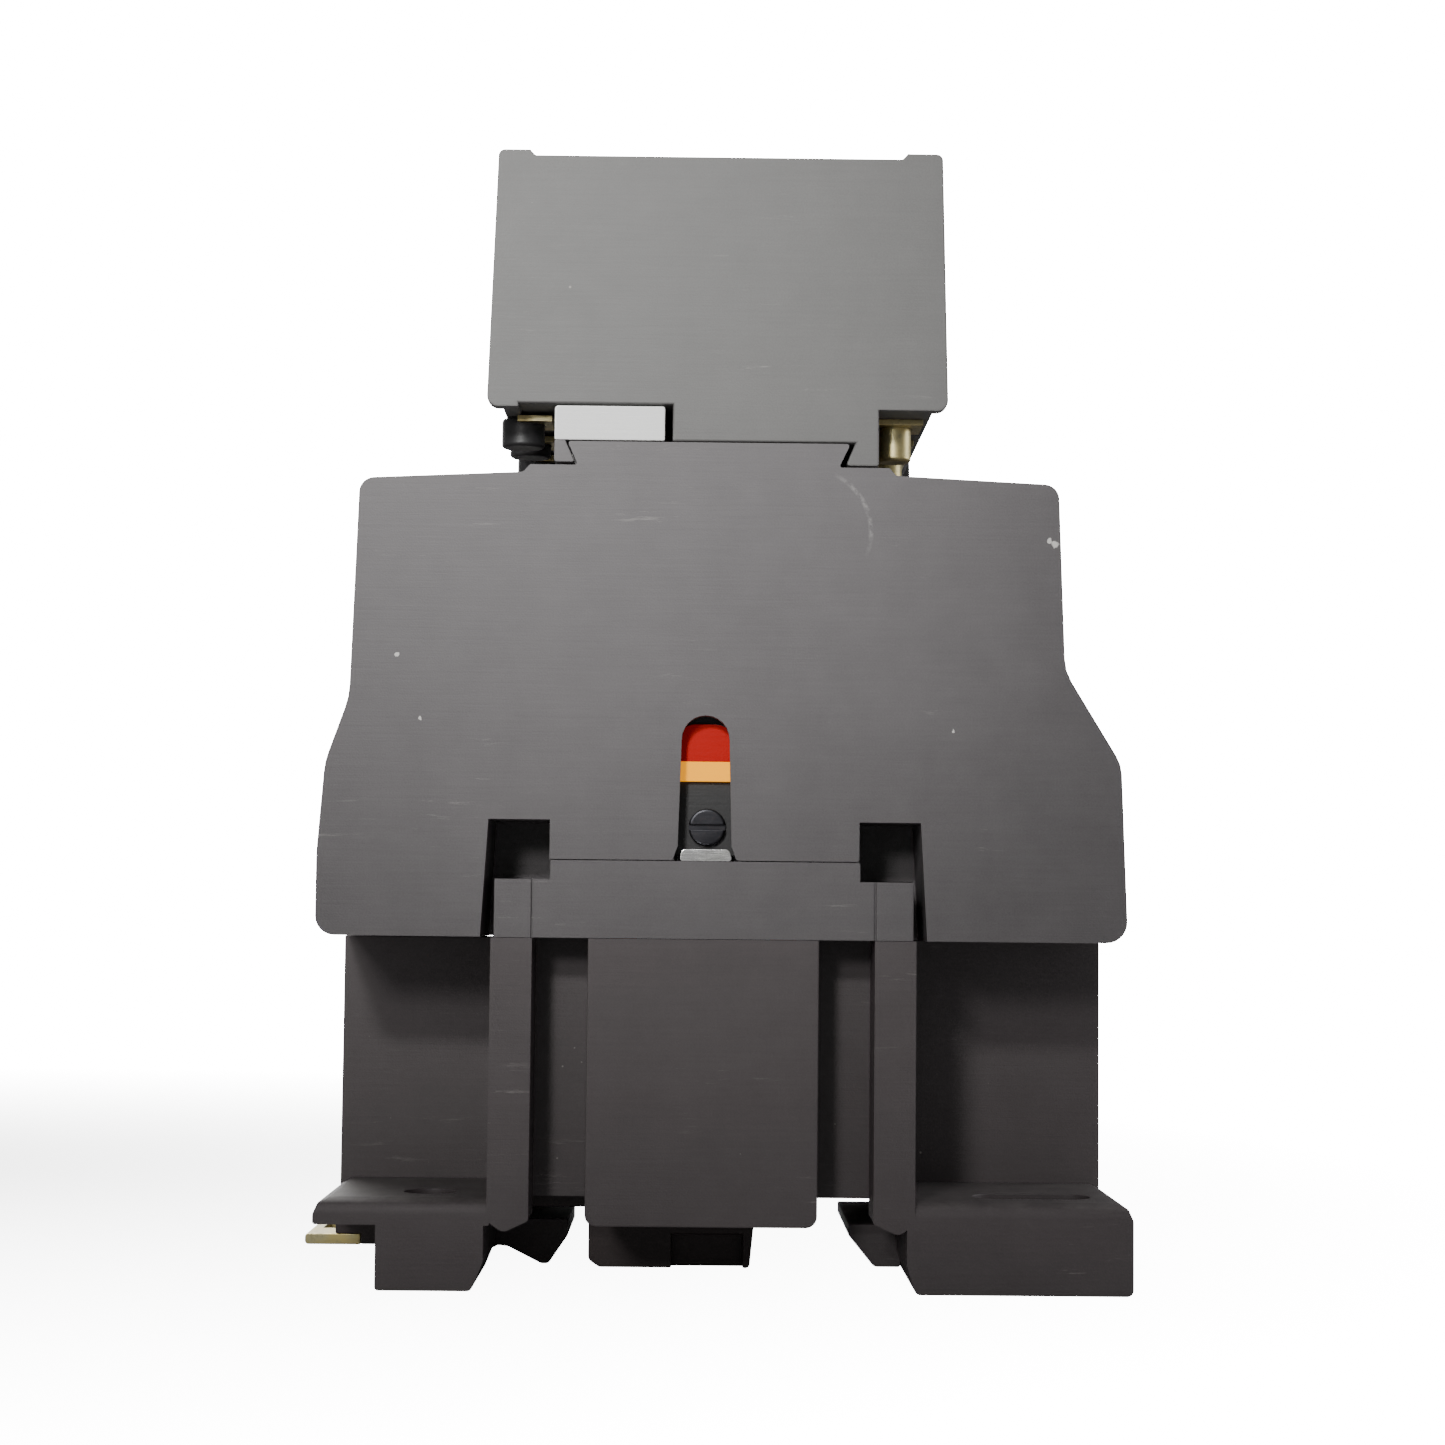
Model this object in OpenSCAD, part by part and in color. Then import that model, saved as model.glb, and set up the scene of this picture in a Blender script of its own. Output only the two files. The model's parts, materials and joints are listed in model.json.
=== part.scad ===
/* [Frame] */
// Width along the rail
width = 56; // [54:0.5:60]
// Half width of the 35 mm top-hat rail that the base clips onto
rail_half = 17.5; // [17.4:0.1:17.6]
// Height of the rail seat above the mounting panel
seat_z = 6.7; // [6:0.1:7]
// Left end of the mounting feet
foot_left = -40; // [-41:0.5:-39]
// Right end of the mounting feet
foot_right = 44.7; // [44:0.1:45]

/* [Heights] */
// Seam between the base and the coil frame
seam_z = 36.3; // [36:0.1:36.6]
// Seam between the coil frame and the housing
frame_top = 44.4; // [44:0.1:44.8]
// Top of the housing under the auxiliary block
front_z = 88.3; // [88:0.1:88.6]
// Front face of the auxiliary block
block_top = 118.8; // [118:0.1:120]

/* [Poles] */
// Spacing of the four poles
pole_pitch = 13.4; // [13:0.1:13.5]
// Travel of the armature and contact carrier
carrier_travel = 5.2; // [4.8:0.1:5.2]
// Height of the fixed contact strips
strip_z = 62.6; // [62.4:0.1:62.8]
// Distance of the power screws from the middle
power_x = 28.5; // [28:0.1:29]
// Height of the fixed contact strips in the auxiliary block
block_strip_z = 104; // [103.8:0.1:104.2]
// Distance of the auxiliary screws from the block's middle
aux_x = 19.2; // [19:0.1:19.4]

/* [Fixing] */
// Diameter of the fixing holes in the left foot
hole_d = 5.5; // [5:0.1:5.6]
// Spacing of the fixing holes along the rail
hole_pitch = 40; // [38:0.5:41]
// Distance from the middle to the left holes
hole_x = 28.6; // [28:0.1:29]
// Distance from the middle to the right slots
slot_x = 35; // [34.5:0.1:35.5]
// Length of the right slots
slot_len = 12.4; // [11:0.1:13]

/* [Hidden] */
$fn = 40;
half_w = width / 2;
wall = 2;
gap = 0.15;
web_half = 5.3;
plate_z = 9.4;
rib_in = 17.8;
rib_out = 22.1;
panel_half = 12;
groove_y = 20;
poles = [-1.5, -0.5, 0.5, 1.5] * pole_pitch;
cell_half = pole_pitch / 2 - 0.8;
strip_t = 1.5;
tip_t = 1;
bridge_gap = 3.6;
core_top = 26;
armature_z = core_top + carrier_travel + 0.3;
yoke_z = 43.5;
bobbin_top = 38;
arm_top = 58.8;
bridge_z = strip_z + strip_t + tip_t + bridge_gap + tip_t;
bridge_t = 1.6;
window_top = bridge_z + 11.6;
block_gap = 3.3;
block_tip = 0.7;
make_z = block_strip_z + 1.45 + block_gap + block_tip;
break_z = block_strip_z - 0.5 - block_tip - 0.9;
slider_top = 115.4;
block_mid = 0.95;
channel_half = 8.05;
inner_half = half_w - wall;

plastic = "#4b4648";
dark_plastic = "#2a2527";
zinc = "#b5a85a";
steel = "#c9c9c6";
brass = "#b89a4a";
copper = "#b06a3c";
silver = "#dddcd6";
signal_red = "#b3210c";
signal_amber = "#ffb832";

// ---------- helpers ----------

// A box given by its two corners
module box(x0, x1, y0, y1, z0, z1) {
  translate([x0, y0, z0]) cube([x1 - x0, y1 - y0, z1 - z0]);
}

// The same box on both sides of y = 0, y0 and y1 being distances
module box_pair(x0, x1, y0, y1, z0, z1) {
  box(x0, x1, y0, y1, z0, z1);
  box(x0, x1, -y1, -y0, z0, z1);
}

// A side profile in x and z, carried along y
module along_y(y0, y1) {
  translate([0, y1, 0]) rotate([90, 0, 0]) linear_extrude(y1 - y0) children();
}

function unit(v) = v / norm(v);

// One rounded corner at b, between a and c
function corner(a, b, c, r) =
  let (
    u = unit(a - b), v = unit(c - b), half = acos(u * v) / 2,
    mid = b + unit(u + v) * (r / sin(half)),
    p = b + u * (r / tan(half)), q = b + v * (r / tan(half)),
    s = atan2(p[1] - mid[1], p[0] - mid[0]), e = atan2(q[1] - mid[1], q[0] - mid[0]),
    sweep = ((e - s + 540) % 360) - 180, steps = max(2, ceil(abs(sweep) / 15))
  )
  [for (i = [0 : steps]) mid + r * [cos(s + sweep * i / steps), sin(s + sweep * i / steps)]];

// An outline of [x, z, radius] points with its corners rounded
function rounded(p) = [
  for (i = [0 : len(p) - 1])
    let (
      n = len(p), b = [p[i][0], p[i][1]], r = p[i][2],
      a = [p[(i + n - 1) % n][0], p[(i + n - 1) % n][1]],
      c = [p[(i + 1) % n][0], p[(i + 1) % n][1]]
    )
    each (r == 0 ? [b] : corner(a, b, c, r))
];

// A coil spring about the z axis: r is the radius of its wire's centreline
module spring(r, wire, z0, z1, turns) {
  sides = 6;
  per_turn = 14;
  n = round(turns * per_turn);
  rise = (z1 - z0 - 2 * wire) / n;
  points = [
    for (i = [0 : n])
      let (a = 360 * i / per_turn)
      for (k = [0 : sides - 1])
        let (b = 360 * k / sides, rr = r + wire * cos(b))
        [rr * cos(a), rr * sin(a), z0 + wire + rise * i + wire * sin(b)]
  ];
  skin = [
    for (i = [0 : n - 1])
      for (k = [0 : sides - 1])
        let (m = (k + 1) % sides)
        [i * sides + k, i * sides + m, (i + 1) * sides + m, (i + 1) * sides + k]
  ];
  start = [for (k = [sides - 1 : -1 : 0]) k];
  finish = [for (k = [0 : sides - 1]) n * sides + k];
  polyhedron(points, concat([start], skin, [finish]));
}

// A cheese-head screw along z with a straight slot; z is the underside of its head
module screw(d, head_d, head_h, z, length, turn = 0) {
  difference() {
    union() {
      translate([0, 0, z - length]) cylinder(d = d, h = length + 0.2);
      translate([0, 0, z]) cylinder(d = head_d, h = head_h - 0.4);
      translate([0, 0, z + head_h - 0.4]) cylinder(d1 = head_d, d2 = head_d - 0.7, h = 0.4);
    }
    rotate([0, 0, turn])
      translate([-head_d / 2 - 1, -head_d * 0.08, z + head_h * 0.45])
        cube([head_d + 2, head_d * 0.16, head_h]);
  }
}

// ---------- outlines in x and z ----------

housing_outline = rounded([
  [-40.3, 36.4, 2], [-40.3, 45, 20], [-39.6, 54.4, 8], [-37.2, 61.2, 8], [-36.5, 84.2, 1.6],
  [-19.4, 85.0, 0.6], [-18.7, 85.8, 0.3], [-13.7, 85.8, 0.2], [-14.8, 88.3, 0.25],
  [14.9, 88.3, 0.25], [13.7, 85.8, 0.2], [19.0, 85.8, 0.3], [19.7, 85.0, 0.6],
  [36.8, 84.2, 1.6], [37.5, 64.6, 5], [43.4, 54.9, 4], [44.1, 36.3, 2.2]
]);

block_outline = rounded([
  [-23.4, 91.9, 1.2], [-22.5, 119.4, 0.7], [-19.2, 119.4, 0.4], [-18.6, 118.8, 0.3],
  [20.2, 118.8, 0.3], [20.8, 119.4, 0.4], [24.5, 119.4, 0.7], [25.2, 91.9, 1.2]
]);

// ---------- base ----------

module foot_plan(x0, x1) {
  r = 1.6;
  hull() {
    box(x0 + (x0 < 0 ? r : 0), x1 - (x0 < 0 ? 0 : r), -half_w + r, half_w - r, seat_z + 1, plate_z);
    box(x0, x1, -half_w, half_w, seat_z, plate_z - r);
    box(x0 + (x0 < 0 ? 0.45 : 0), x1 - (x0 < 0 ? 0 : 0.45), -half_w + 0.45, half_w - 0.45,
      seat_z + 0.5, plate_z - 0.5);
  }
}

module left_foot() {
  foot_plan(foot_left, -rib_out + 0.3);
  along_y(-half_w, half_w)
    polygon(rounded([
      [-33.5, 0, 0.4], [-33.5, seat_z + 0.5, 0], [-22.4, seat_z + 0.5, 0], [-22.4, 3, 0.5],
      [-23.6, 0, 0.6]
    ]));
  box(-37.4, -36.2, -1.8, 1.8, 3.2, seat_z + 0.5);
}

module right_foot() {
  foot_plan(rib_out - 0.3, foot_right);
  along_y(-half_w, half_w)
    polygon(rounded([
      [22.2, 0, 0.7], [21.3, 3, 0.5], [21.3, seat_z + 0.5, 0], [foot_right, seat_z + 0.5, 0],
      [foot_right, 0, 0.7]
    ]));
  // fixed hook under the rail's right edge
  along_y(-12, 12)
    polygon(rounded([
      [rail_half - 1.4, 4.2, 0.4], [rail_half - 1.4, 5.4, 0.2], [21.8, 5.4, 0], [21.8, 0.8, 0.3],
      [rail_half + 1.4, 0.8, 0.8]
    ]));
}

module fixing_cuts() {
  for (y = [-1, 1] * hole_pitch / 2) {
    translate([-hole_x, y, -1]) cylinder(d = hole_d, h = 12);
    translate([0, y, 0]) {
      translate([slot_x - (slot_len - hole_d) / 2, 0, -1]) cylinder(d = hole_d, h = 12);
      translate([slot_x + (slot_len - hole_d) / 2, 0, -1]) cylinder(d = hole_d, h = 12);
      box(slot_x - (slot_len - hole_d) / 2, slot_x + (slot_len - hole_d) / 2,
        -hole_d / 2, hole_d / 2, -1, 11);
    }
  }
}

module latch_guide_cut() {
  box(-41, -22, -9.1, 9.1, -1, 5.7);
  box(-41, -23.6, -10.5, 10.5, 3.2, 5.7);
}

// Hollows in the underside of the right foot, clear of its slots
module right_foot_cuts() {
  for (y = [-9, 0, 9])
    box(24, 42.6, y - 3.6, y + 3.6, -1, seat_z);
  for (s = [-1, 1])
    box(24, 42.6, s * 25.1 - 1.1, s * 25.1 + 1.1, -1, seat_z);
}

module box_cuts() {
  // coil space, core space and the slots beside the front panels
  box(-rib_in + 0.4, rib_in - 0.4, -groove_y + wall, groove_y - wall, 11.2, seam_z + 1);
  box(-panel_half + wall, panel_half - wall, -half_w + wall, half_w - wall, 11.2, seam_z + 1);
  for (s = [-1, 1])
    box_pair(s * 15 - 3 + (s < 0 ? 0.2 : 0), s * 15 + 3 - (s < 0 ? 0 : 0.2), groove_y, half_w + 1,
      0, seam_z + 1);
  box(-rib_in, rib_in, -groove_y, groove_y, 0, 9);
}

// The thin webs that carry the foot plates out from the coil box
module webs() {
  difference() {
    box(foot_left, foot_right - 0.4, -web_half, web_half, plate_z - 1, seam_z - 0.2);
    box(-38, -24.5, -web_half + wall, web_half - wall, plate_z + 4, seam_z + 1);
    box(24.5, 42, -web_half + wall, web_half - wall, plate_z + 4, seam_z + 1);
    box(-22, 22, -web_half - 1, web_half + 1, 0, 40);
  }
}

module coil_box() {
  difference() {
    along_y(-half_w, half_w)
      polygon(rounded([
        [-rib_out, seam_z, 0], [-rib_out, 7.2, 1], [-20.4, 6, 1], [-17.8, 7.2, 0.6],
        [-17.4, 9, 0], [-12, 9, 0], [-12, seat_z, 1.2], [12, seat_z, 1.2], [12, 9, 0],
        [17.4, 9, 0], [17.8, 7.2, 0.6], [20.4, 6, 1], [rib_out, 7.2, 1], [rib_out, seam_z, 0]
      ]));
    box_cuts();
    // between the side ribs the underside is cleared for the rail's clips
    box(-23, -17.3, -groove_y, groove_y, 0, 9);
    box(17.3, 23, -groove_y, groove_y, 0, 9);
  }
}

module base() {
  color(plastic)
    difference() {
      union() {
        coil_box();
        webs();
        left_foot();
        right_foot();
      }
      fixing_cuts();
      latch_guide_cut();
      right_foot_cuts();
      for (x = [-19.8, 19.8])
        translate([x, 0, 27.5]) cylinder(d = 3.1, h = 12);
    }
}

// The core's well, which dips into the hollow of the rail, with a lip above the rail's left edge
module keel() {
  color(dark_plastic)
    difference() {
      along_y(-11, 11)
        polygon(rounded([
          [-21.5, 9 - gap, 0], [-21.5, seat_z + 0.2, 0.3], [-12.2, seat_z + 0.2, 0.3],
          [-12.2, 1.2, 0.8], [-11, 0.4, 0.8], [5.4, 0.4, 0.5], [6.2, 9 - gap, 0]
        ]));
      box(-3.1, 4.6, -12, -9.2, -1, 4);
      box(-3.1, 4.6, 9.2, 12, -1, 4);
    }
}

module rail_latch() {
  color(dark_plastic)
    difference() {
      union() {
        along_y(-8.9, 8.9)
          polygon(rounded([
            [-40, 2.4, 0.3], [-40, 5.3, 0.3], [3 - rail_half, 5.3, 0.2], [3 - rail_half, 3.6, 0.4],
            [0.9 - rail_half, 0.5, 0.6], [0.1 - rail_half, 0.5, 0.6], [-3.7 - rail_half, 2.4, 0]
          ]));
        box_pair(-31, -24.4, 8.8, 10.2, 3.5, 5.2);
      }
      box(-38.6, -27, -2.5, 2.5, 0, 6);
      box(-41, -37.2, -10, 10, 2, 3.55);
    }
}

// Plated pull tab riveted to the tail of the latch
module latch_tab() {
  color(zinc)
    difference() {
      union() {
        along_y(-8.4, 8.4)
          polygon(rounded([
            [-43.4, 2.3, 0.4], [-43.4, 3.5, 0.4], [-37.3, 3.5, 0], [-37.3, 2.3, 0]
          ]));
      }
      box(-42, -40, -3, 3, 2, 4);
      box(-38.6, -36, -2.5, 2.5, 2, 4);
    }
}

module latch_spring() {
  color(steel)
    translate([-36.15, 0, 4.1]) rotate([0, 90, 0]) spring(1.15, 0.25, 0, 9.1, 9);
}

// ---------- coil and magnet ----------

module coil_frame() {
  color(plastic)
    difference() {
      union() {
        box(-21.8, 21.8, -half_w, half_w, seam_z + 0.05, 42.4);
        box(-16, 16.2, -half_w, half_w, 42, frame_top);
      }
      box(-rib_in + 0.4, rib_in - 0.4, -half_w + wall, half_w - wall, 30, 43);
      box(-14, 14.2, -half_w + wall, half_w - wall, 42, 46);
      for (x = [-19.8, 19.8])
        translate([x, 0, 30]) cylinder(d = 3.4, h = 20);
      // room for the bobbin's two terminal lugs
      box_pair(17, 21.4, 4.1, 11.9, 34, 45);
      // fine grooves in both faces, above the base's ribs
      for (x = [-1, 1] * rib_in)
        box_pair(x - 0.12, x + 0.12, half_w - 0.3, half_w + 1, 30, 43);
    }
}

module stop_clips() {
  color(silver)
    for (s = [-1, 1])
      along_y(s > 0 ? 26.1 : -27.9, s > 0 ? 27.9 : -26.1)
        polygon(rounded([
          [-2.6, frame_top + 0.02, 0.3], [-2.4, frame_top + 1.25, 0.5], [2.6, frame_top + 1.25, 0.5],
          [2.9, frame_top + 0.02, 0.3]
        ]));
}

module core_pad() {
  color("#1c1c1c") box(-8, 8, -23, 23, 11.25, 13);
}

module fixed_core() {
  color(steel) {
    difference() {
      box(-7, 7, -24, 24, 13.05, core_top);
      box_pair(-8, 8, 6, 17.6, 19.5, core_top + 1);
      box_pair(-8, 8, 19.7, 20.9, 24.9, core_top + 1);
      for (y = [-20.8, -11.8, 0, 11.8, 20.8])
        translate([0, y, 16]) rotate([0, 90, 0]) cylinder(d = 2.6, h = 30, center = true);
    }
  }
}

module shading_rings() {
  color(copper)
    for (s = [-1, 1])
      difference() {
        box(-8.1, 8.1, s > 0 ? 16.6 : -20.8, s > 0 ? 20.8 : -16.6, 25, core_top - 0.1);
        box(-7.1, 7.1, s > 0 ? 17.55 : -19.75, s > 0 ? 19.75 : -17.55, 24, 27);
      }
}

module coil_bobbin() {
  color("#e8e4d6")
    difference() {
      union() {
        box(-17, 17, -16.4, 16.4, bobbin_top - 1.2, bobbin_top);
        box(-9, 9, -8, 8, 19.8, bobbin_top);
        box(-17, 17, -16.4, 16.4, 19.7, 20.8);
        box_pair(16, 21, 4.5, 11.5, bobbin_top - 1.2, 41.4);
      }
      box(-7.4, 7.4, -6.5, 6.5, 18, bobbin_top + 1);
    }
}

module coil_winding() {
  color(copper)
    difference() {
      translate([0, 0, 20.9]) linear_extrude(bobbin_top - 1.3 - 20.9)
        polygon(rounded([
          [-15.6, -15.6, 3.6], [-15.6, 15.6, 3.6], [15.6, 15.6, 3.6], [15.6, -15.6, 3.6]
        ]));
      box(-9.1, 9.1, -8.1, 8.1, 20, bobbin_top);
    }
}

module coil_terminals() {
  color(zinc)
    for (s = [-1, 1])
      difference() {
        union() {
          along_y(s * 8 - 3, s * 8 + 3)
            polygon(rounded([
              [18, 41.5, 0], [19, 41.5, 0], [19, 50, 0.5], [42.4, 50, 0.2], [42.4, 51, 0.2],
              [18, 51, 1]
            ]));
        }
        translate([40.2, s * 8, 40]) cylinder(d = 3.1, h = 20);
      }
}

module coil_screws() {
  color(zinc)
    for (s = [-1, 1])
      translate([40.2, s * 8, 0]) screw(3, 4.4, 2, 52.2, 6, 30 * s);
}

module return_springs() {
  color(steel)
    for (s = [-1, 1])
      translate([s * 11, 0, 0]) spring(2.3, 0.35, bobbin_top + 0.05, 50.4, 7);
}

module armature() {
  color(steel)
    difference() {
      box(-7, 7, -23.9, 23.9, armature_z, 50);
      box_pair(-8, 8, 6, 17.6, 30, yoke_z);
      translate([0.25, 0, 48]) rotate([90, 0, 0]) cylinder(d = 3.3, h = 60, center = true);
      for (y = [-15, -8, 8, 15])
        translate([0, y, 46.5]) rotate([0, 90, 0]) cylinder(d = 2.6, h = 30, center = true);
    }
}

module armature_pin() {
  color(steel)
    translate([0.25, 0, 48]) rotate([90, 0, 0]) cylinder(d = 3.2, h = 49.8, center = true);
}

// Black slotted caps that hold the armature's pin, one on each side
module pin_screws() {
  color("#16181a")
    for (s = [-1, 1])
      translate([0.25, 0, 48]) rotate([s * 90, 0, 0]) translate([0, 0, 25.05])
        difference() {
          union() {
            cylinder(d = 3.9, h = 0.5);
            translate([0, 0, 0.5]) cylinder(d1 = 3.9, d2 = 3.3, h = 0.15);
          }
          translate([-3, -0.3, 0.25]) cube([6, 0.6, 2]);
        }
}

// ---------- moving contacts ----------

// Black carrier: a cage round the armature and a column with a window for each bridge
module contact_carrier() {
  color("#161415")
    difference() {
      union() {
        box(-14.2, 14.2, -4.6, 4.6, 50.5, 53.4);
        box(-7.6, 7.6, -24.2, 24.2, 50.1, 66);
        box(-5.6, 5.6, -24.2, 24.2, 65.5, window_top + 1.8);
        box_pair(-6.4, 6.4, 24, 25, 45, 60);
      }
      translate([0.25, 0, 48]) rotate([90, 0, 0]) cylinder(d = 3.3, h = 60, center = true);
      for (y = poles)
        box(-9, 9, y - 4.6, y + 4.6, bridge_z - 0.05, window_top);
      box_pair(-4.4, 4.4, 5, 9, 54, 62);
      box_pair(-4.4, 4.4, 16, 20, 54, 62);
    }
}

module signal_arms() {
  color(signal_red)
    for (s = [-1, 1])
      along_y(s > 0 ? 25.05 : -25.7, s > 0 ? 25.7 : -25.05)
        polygon(rounded([
          [-2.9, 54.9, 0], [-2.9, arm_top, 1.8], [2.9, arm_top, 1.8], [2.9, 54.9, 0]
        ]));
}

module signal_bands() {
  color(signal_amber)
    for (s = [-1, 1])
      box(-2.9, 2.9, s > 0 ? 25.05 : -25.7, s > 0 ? 25.7 : -25.05, 52.8, 54.88);
}

// Head that the auxiliary block's slider hooks onto
module carrier_head() {
  color(signal_red) {
    box(-2.6, 2.6, -4, 4, window_top + 1.85, 88.2);
    box(-3.8, 3.8, -5, 5, 88.1, 89.6);
  }
}

module bridge(i) {
  y = poles[i];
  color(copper)
    difference() {
      union() {
        along_y(y - 3.4, y + 3.4)
          polygon(rounded([
            [-13.2, bridge_z, 0.4], [-13.2, bridge_z + bridge_t, 0.4], [13.2, bridge_z + bridge_t, 0.4],
            [13.2, bridge_z, 0.4]
          ]));
        translate([0, y, bridge_z + bridge_t - 0.1]) cylinder(d = 3.6, h = 1.3);
      }
      translate([0, y, bridge_z - 1]) cylinder(d = 1.4, h = 6);
    }
}

module moving_tips() {
  color(silver)
    for (y = poles)
      for (x = [-10.6, 10.6])
        translate([x, y, bridge_z - tip_t]) cylinder(d = 4.6, h = tip_t);
}

module contact_springs() {
  color(steel)
    for (y = poles)
      translate([0, y, 0]) spring(2.5, 0.45, bridge_z + bridge_t + 0.05, window_top - 0.05, 4.5);
}

// ---------- housing ----------

// Wells, wire entries and contact space of one pole at one end
module pole_cuts(s, y) {
  // contact space with the terminal behind it
  box(s < 0 ? -34.6 : 7.9, s < 0 ? -7.9 : 34.6, y - cell_half, y + cell_half, 58, 81.6);
  // wire entry in the end wall
  box(s < 0 ? -45 : 33, s < 0 ? -33 : 45, y - 4.6, y + 4.6, strip_z + strip_t, 73);
  // screwdriver well through the shoulder
  translate([s * power_x, y, 70]) cylinder(d = 8, h = 20);
}

module housing_hollows() {
  // middle channel for the carrier and the armature below it
  box(-channel_half, channel_half, -inner_half, inner_half, 40, 85.9);
  box(-15.4, 15.4, -inner_half, inner_half, 30, 57);
  // slot for the carrier's head
  box(-5.4, 5.8, -7, 7, 80, 92);
  // moulded hollows under the contact cells, open at the bottom
  for (s = [-1, 1])
    for (y = [-19.7, -6.5, 6.5, 19.7])
      box(s < 0 ? -35.2 : 24.4, s < 0 ? -24.4 : 35.2, y - 5.7, y + 5.7, 30, 55.5);
  box(35.2, 41.8, -14.2, 14.2, 30, 53.2);
}

// The window through each side wall, round at its top, and the pockets beside the coil frame
module side_cuts() {
  for (s = [-1, 1]) {
    along_y(s > 0 ? half_w - wall - 1 : -half_w - 1, s > 0 ? half_w + 1 : -half_w + wall + 1)
      polygon(concat(
        [[-3.5, 44], [-2.8, 46], [-2.5, 57.1]],
        [for (a = [180 : -15 : 0]) [2.5 * cos(a), 57.1 + 2.5 * sin(a)]],
        [[2.5, 57.1], [2.8, 46], [3.5, 44]]
      ));
    for (e = [-1, 1])
      along_y(s > 0 ? 16 : -half_w - 1, s > 0 ? half_w + 1 : -16)
        polygon([[e * 16.1, 30], [e * 16.1, 48.6], [e * 22.5, 48.6], [e * 23.2, 36.4], [e * 23.6, 30]]);
  }
  // the housing is cut away round the coil frame
  box(-16.1, 16.3, -30, 30, 30, frame_top + 0.1);
  box(-22.4, 22.4, -30, 30, 30, 42.5);
}

module coil_terminal_wells() {
  for (s = [-1, 1]) {
    translate([40.2, s * 8, 51.3]) cylinder(d = 5.2, h = 20);
    box(38, 46, s * 8 - 2.6, s * 8 + 2.6, 44, 49.8);
    box(17.7, 19.3, s * 8 - 3.1, s * 8 + 3.1, 40, 51.2);
    box(17.7, 42.6, s * 8 - 3.1, s * 8 + 3.1, 49.8, 51.2);
  }
}

module housing() {
  color(plastic)
    difference() {
      along_y(-half_w, half_w) polygon(housing_outline);
      housing_hollows();
      side_cuts();
      coil_terminal_wells();
      for (s = [-1, 1])
        for (y = poles)
          pole_cuts(s, y);
      for (x = [-19.8, 19.8])
        translate([x, 0, 0]) {
          translate([0, 0, 30]) cylinder(d = 3.4, h = 60);
          translate([0, 0, 60]) cylinder(d = 5, h = 40);
        }
    }
}

// Pale arc-proof plates that line the side walls of every contact cell
module arc_plates() {
  color("#8a7a62")
    for (s = [-1, 1])
      for (y = poles)
        for (e = [-1, 1])
          box(s < 0 ? -17.4 : 8.2, s < 0 ? -8.2 : 17.4, y + e * (cell_half - 0.5) - 0.4,
            y + e * (cell_half - 0.5) + 0.4, 58.1, 81.4);
}

module housing_screws() {
  color(steel)
    for (x = [-19.8, 19.8])
      translate([x, 0, 0]) screw(3, 4.6, 2.2, 60.05, 32, x);
}

// ---------- power terminals ----------

module strips(s) {
  color(zinc)
    for (y = poles)
      difference() {
        along_y(y - 4.2, y + 4.2)
          polygon(rounded([
            [s * 8.6, strip_z, 0.3], [s * 8.6, strip_z + strip_t, 0.3],
            [s * 33.6, strip_z + strip_t, 0.3], [s * 33.6, strip_z - 3.4, 0.3],
            [s * 32.1, strip_z - 3.4, 0.3], [s * 32.1, strip_z, 0.4]
          ]));
        translate([s * power_x, y, strip_z - 1]) cylinder(d = 4.1, h = 5);
      }
}

module fixed_tips() {
  color(silver)
    for (y = poles)
      for (x = [-10.9, 10.9])
        translate([x, y, strip_z + strip_t + 0.01]) cylinder(d = 4.4, h = tip_t - 0.02);
}

// Saddle clamps held up under the screw heads
module clamps(s) {
  color(zinc)
    for (y = poles)
      difference() {
        along_y(y - 4.4, y + 4.4)
          polygon(rounded([
            [s * 24.6, 67.6, 0.3], [s * 24.6, 70.5, 0.4], [s * 32.4, 70.5, 0.4],
            [s * 32.4, 68.2, 0.3], [s * 31.2, 68.2, 0], [s * 31.2, 69.3, 0], [s * 25.8, 69.3, 0],
            [s * 25.8, 67.6, 0.3]
          ]));
        translate([s * power_x, y, 66]) cylinder(d = 4.3, h = 8);
      }
}

module power_screws(s) {
  color(zinc)
    for (i = [0 : 3])
      translate([s * power_x, poles[i], 0]) screw(4, 7, 2.8, 70.55, 11, 25 + 47 * i + 20 * s);
}

// ---------- auxiliary block ----------

module block_cells() {
  for (y = poles) {
    box(-20.6, -6.4, y - cell_half, y + cell_half, 95, slider_top);
    box(8.3, 22.5, y - cell_half, y + cell_half, 95, slider_top);
    for (e = [-1, 1]) {
      translate([block_mid + e * aux_x, y, block_strip_z]) cylinder(d = 6.6, h = 30);
      box(e < 0 ? -30 : 20, e < 0 ? -18 : 30, y - 2.6, y + 2.6, block_strip_z + 1,
        block_strip_z + 4.9);
    }
  }
}

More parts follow.
